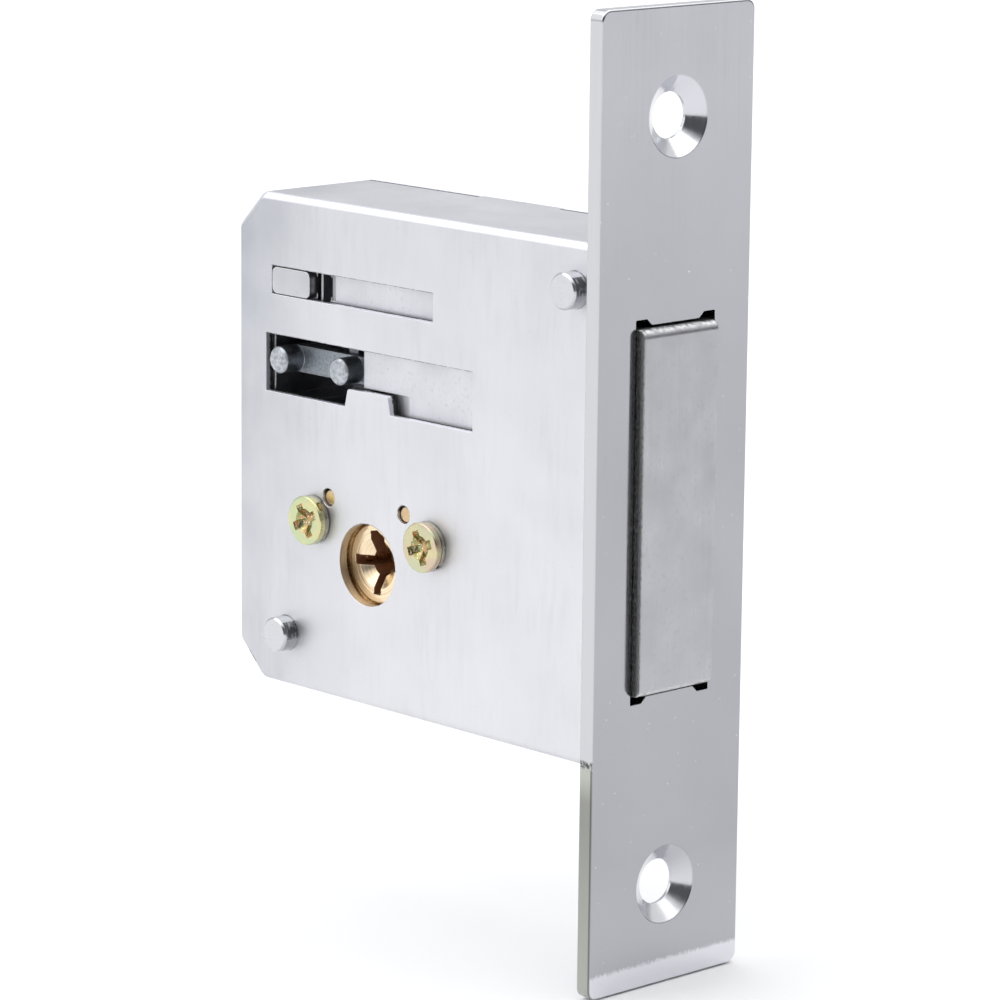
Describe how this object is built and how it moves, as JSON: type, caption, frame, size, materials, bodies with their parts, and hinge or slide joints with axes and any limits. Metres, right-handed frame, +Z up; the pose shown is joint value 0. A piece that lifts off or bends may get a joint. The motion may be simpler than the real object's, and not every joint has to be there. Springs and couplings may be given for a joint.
{
  "type": "mortise deadbolt",
  "caption": "Mortise deadbolt with a long faceplate, a folded steel case, a tall thrown bolt, a spring-loaded locking lever and a cross-key brass cylinder.",
  "frame": {"origin": "midway between the two faceplate screw holes, on the back of the faceplate, where it seats in the door", "axes": "+X out of the faceplate, the way the bolt is thrown; +Z up along the faceplate; -Y the side with the guide slots and the keyway"},
  "size_m": [0.0693, 0.025, 0.117],
  "materials": {
    "chromed_steel": "polished chrome plate",
    "zinc_plated_steel": "bright zinc plate",
    "post_steel": "plated turned steel",
    "plated_zinc_casting": "satin nickel plated casting",
    "lever_casting": "raw zinc casting",
    "spring_steel": "drawn spring wire",
    "brass": "turned brass",
    "plug_brass": "turned brass",
    "finger_steel": "sintered steel",
    "yellow_zinc_steel": "yellow passivated zinc",
    "washer_steel": "plated spring steel"
  },
  "bodies": {
    "case": {"faceplate": "chromed_steel", "case_body": "zinc_plated_steel", "cover_plate": "zinc_plated_steel", "front_post": "post_steel", "rear_post": "post_steel", "cylinder_housing": "brass", "housing_sleeve": "brass", "driver_pins": "brass", "tumbler_springs": "spring_steel", "cylinder_screws": "yellow_zinc_steel", "lock_washers": "washer_steel", "locating_pins": "brass"},
    "bolt": {"bolt": "plated_zinc_casting", "lever_spring": "spring_steel"},
    "lever": {"locking_lever": "lever_casting"},
    "plug": {"cylinder_plug": "plug_brass", "key_pins": "brass", "key_finger": "finger_steel", "finger_clip": "spring_steel"}
  },
  "joints": [
    {"name": "bolt_throw", "type": "slide", "parent": "case", "child": "bolt", "axis": [1, 0, 0], "range_m": [0, 0.0225]},
    {"name": "lever_lift", "type": "slide", "parent": "bolt", "child": "lever", "axis": [0, 0, 1], "range_m": [-0.00235, 0.0012], "stiffness_N_per_m": 300, "springref_m": -0.006, "deforming": ["lever_spring"]},
    {"name": "key_turn", "type": "hinge", "parent": "case", "child": "plug", "pos_m": [-0.0413, 0, -0.01295], "axis": [0, 1, 0], "range_deg": [0, 96]}
  ],
  "couplings": [
    {"joint": "key_turn", "follows": "bolt_throw", "rad_per_m": 74.465}
  ]
}
